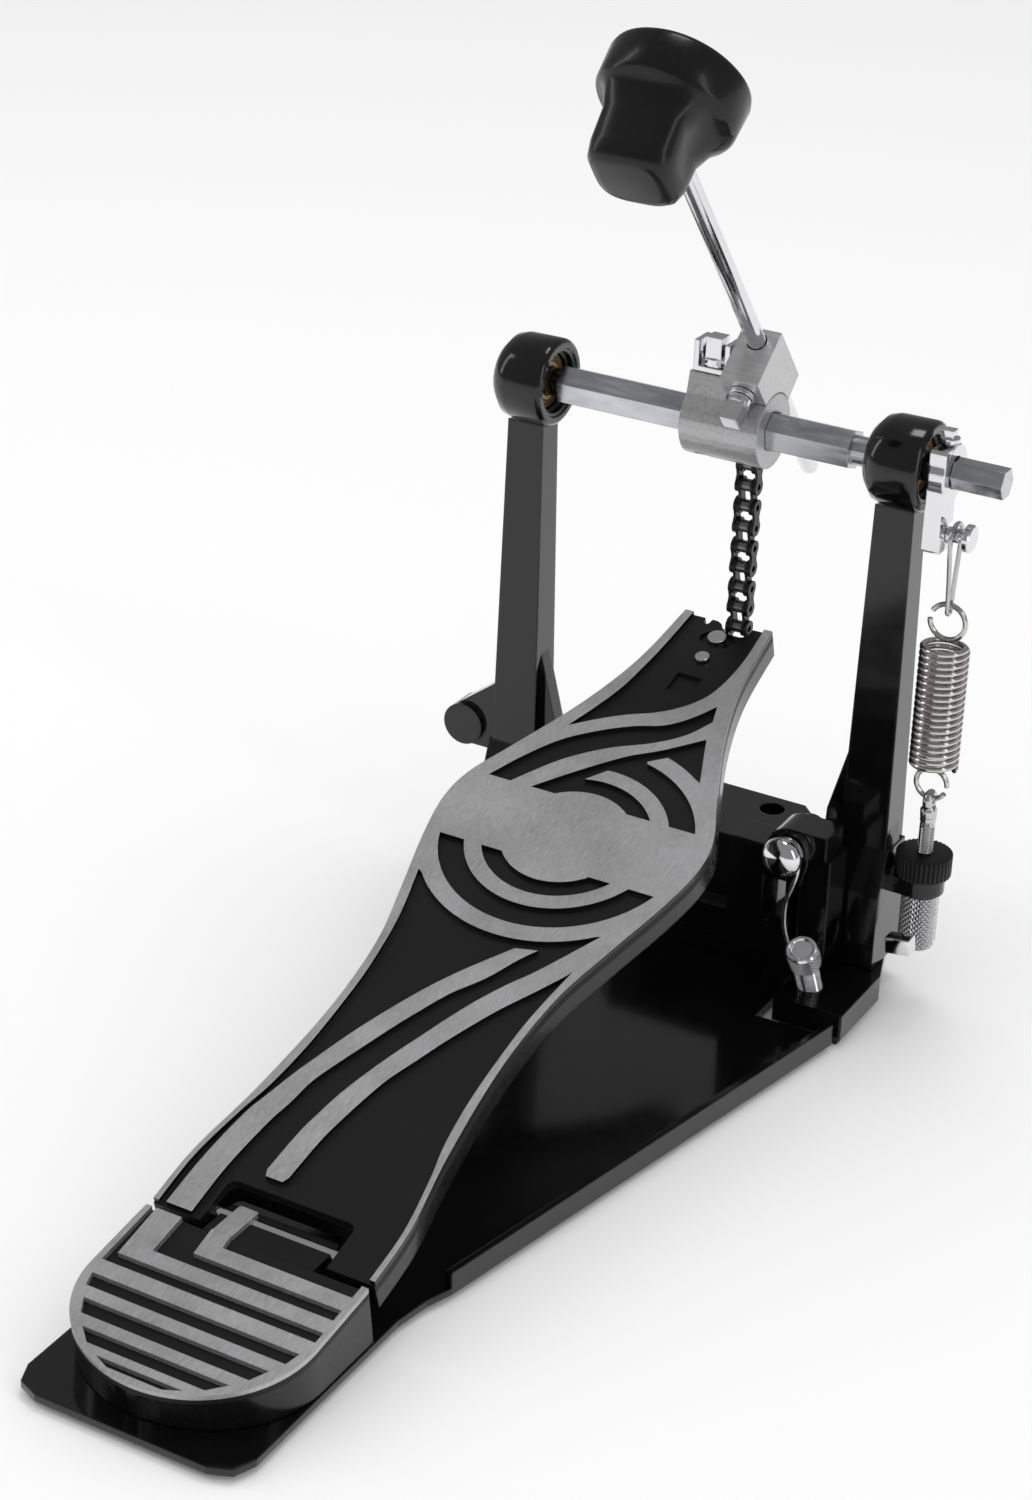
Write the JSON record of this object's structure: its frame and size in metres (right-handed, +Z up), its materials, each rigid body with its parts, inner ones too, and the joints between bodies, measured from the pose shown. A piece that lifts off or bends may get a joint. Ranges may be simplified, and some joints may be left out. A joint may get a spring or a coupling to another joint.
{
  "type": "bass drum pedal",
  "caption": "Bass drum pedal: a hinged footboard pulls a chain on a cam that swings a beater against a side return spring, with a hoop clamp and spurs.",
  "frame": {"origin": "on the floor under the heel, at the hinge end of the footboard, on the centre plane", "axes": "+X towards the return spring, +Y towards the drum, +Z up"},
  "size_m": [0.2055, 0.3961, 0.35],
  "materials": {
    "black_gloss": "gloss",
    "rubber": "matte",
    "bearing_brass": "satin",
    "steel": "satin",
    "chrome": "mirror",
    "cast_alloy": "cast, matte",
    "black_steel": "black oxide, satin",
    "brushed_alloy": "brushed",
    "black_satin": "satin",
    "chain_black": "black, worn at the rollers"
  },
  "bodies": {
    "base": {"base_plate": "black_gloss", "heel_pad": "rubber", "base_casting": "black_gloss", "right_foot_pad": "rubber", "left_foot_pad": "rubber", "hoop_seat_pad": "rubber", "right_post": "black_gloss", "left_post": "black_gloss", "left_bearing_housing": "black_gloss", "right_bearing_housing": "black_gloss", "left_bearing": "bearing_brass", "right_bearing": "bearing_brass", "hinge_pin": "steel", "heel_plate": "black_gloss", "clamp_pivot_screw": "chrome", "clamp_torsion_spring": "chrome"},
    "axle_group": {"hex_axle": "chrome", "cam_hub": "cast_alloy", "left_set_screw": "black_steel", "right_set_screw": "black_steel", "cam_clip": "chrome", "clip_key_screw": "chrome", "beater_block": "brushed_alloy", "beater_key_screw": "chrome", "beater_key_washer": "chrome", "rocker_arm": "chrome", "rocker_key_screw": "chrome", "rocker_stud": "chrome", "chain_link_01": "chain_black"},
    "beater_rod_group": {"beater_rod": "chrome"},
    "beater_head_group": {"beater_head": "black_satin"},
    "chain_upper": {"chain_link_02": "chain_black"},
    "chain_middle": {"chain_link_03": "chain_black"},
    "chain_run": {"chain_link_04": "chain_black", "chain_link_05": "chain_black", "chain_link_06": "chain_black", "chain_link_07": "chain_black", "chain_link_08": "chain_black", "chain_link_09": "chain_black", "chain_link_10": "chain_black", "chain_link_11": "chain_black", "chain_link_12": "chain_black", "chain_link_13": "chain_black", "chain_link_14": "chain_black", "chain_link_15": "chain_black"},
    "footboard_group": {"footboard": "black_gloss", "chain_screw": "chrome", "bracket_screw": "chrome", "chain_bracket": "chrome"},
    "tension_rod_group": {"tension_rod": "steel"},
    "spring_group": {"return_spring": "chrome"},
    "hook_group": {"spring_hook": "steel"},
    "upper_nut_group": {"upper_spring_nut": "black_steel"},
    "lower_nut_group": {"lower_spring_nut": "chrome"},
    "jaw_group": {"hoop_clamp_jaw": "black_gloss"},
    "clamp_bolt_group": {"clamp_bolt": "chrome"},
    "left_spur_group": {"left_spur": "chrome"},
    "right_spur_group": {"right_spur": "chrome"}
  },
  "joints": [
    {"name": "axle_turn", "type": "hinge", "parent": "base", "child": "axle_group", "pos_m": [0, 0.274, 0.198], "axis": [-1, 0, 0], "range_deg": [0, 48], "stiffness_Nm_per_rad": 1},
    {"name": "footboard_hinge", "type": "hinge", "parent": "base", "child": "footboard_group", "pos_m": [0, 0.00889, 0.02237], "axis": [-1, 0, 0], "range_deg": [0, 3.65]},
    {"name": "chain_upper_pin", "type": "hinge", "parent": "axle_group", "child": "chain_upper", "pos_m": [0, 0.29078, 0.21223], "axis": [1, 0, 0], "range_deg": [0, 17.96]},
    {"name": "chain_middle_pin", "type": "hinge", "parent": "chain_upper", "child": "chain_middle", "pos_m": [0, 0.29465, 0.20558], "axis": [1, 0, 0], "range_deg": [0, 20.36]},
    {"name": "chain_run_pin", "type": "hinge", "parent": "chain_middle", "child": "chain_run", "pos_m": [0, 0.296, 0.198], "axis": [1, 0, 0], "range_deg": [0, 13.29]},
    {"name": "beater_height", "type": "slide", "parent": "axle_group", "child": "beater_rod_group", "axis": [0, -0.6428, 0.766], "range_m": [-0.01, 0.02]},
    {"name": "beater_head_turn", "type": "hinge", "parent": "beater_rod_group", "child": "beater_head_group", "pos_m": [0.015, 0.28779, 0.20957], "axis": [0, -0.6428, 0.766], "continuous": true},
    {"name": "spring_tension", "type": "slide", "parent": "base", "child": "tension_rod_group", "axis": [0, 0, 1], "range_m": [0, 0.003]},
    {"name": "spring_swing", "type": "hinge", "parent": "tension_rod_group", "child": "spring_group", "pos_m": [0.091, 0.2725, 0.0797], "axis": [1, 0, 0], "range_deg": [0, 8.26]},
    {"name": "spring_stretch", "type": "slide", "parent": "spring_group", "child": "hook_group", "axis": [0, 0, 1], "range_m": [0, 0.0092], "deforming": ["return_spring"]},
    {"name": "upper_nut_turn", "type": "hinge", "parent": "base", "child": "upper_nut_group", "pos_m": [0.091, 0.2725, 0.055], "axis": [0, 0, 1], "continuous": true},
    {"name": "lower_nut_turn", "type": "hinge", "parent": "base", "child": "lower_nut_group", "pos_m": [0.091, 0.2725, 0.033], "axis": [0, 0, 1], "continuous": true},
    {"name": "clamp_swing", "type": "hinge", "parent": "base", "child": "jaw_group", "pos_m": [0.052, 0.252, 0.06], "axis": [0, -1, 0], "range_deg": [-4, 4]},
    {"name": "clamp_bolt_travel", "type": "slide", "parent": "jaw_group", "child": "clamp_bolt_group", "axis": [-0.9903, 0, -0.1392], "range_m": [-0.0023, 0.0023]},
    {"name": "left_spur_height", "type": "slide", "parent": "base", "child": "left_spur_group", "axis": [0, -0.454, 0.891], "range_m": [-0.0022, 0.008]},
    {"name": "right_spur_height", "type": "slide", "parent": "base", "child": "right_spur_group", "axis": [0, -0.454, 0.891], "range_m": [-0.0022, 0.008]}
  ],
  "couplings": [
    {"joint": "footboard_hinge", "follows": "axle_turn", "ratio": 0.07509},
    {"joint": "chain_upper_pin", "follows": "axle_turn", "ratio": 0.37008},
    {"joint": "chain_middle_pin", "follows": "axle_turn", "ratio": 0.41994},
    {"joint": "chain_run_pin", "follows": "axle_turn", "ratio": 0.27279},
    {"joint": "spring_swing", "follows": "axle_turn", "ratio": 0.17},
    {"joint": "spring_stretch", "follows": "axle_turn", "m_per_rad": 0.01091},
    {"joint": "clamp_bolt_travel", "follows": "clamp_swing", "m_per_rad": 0.0323}
  ]
}
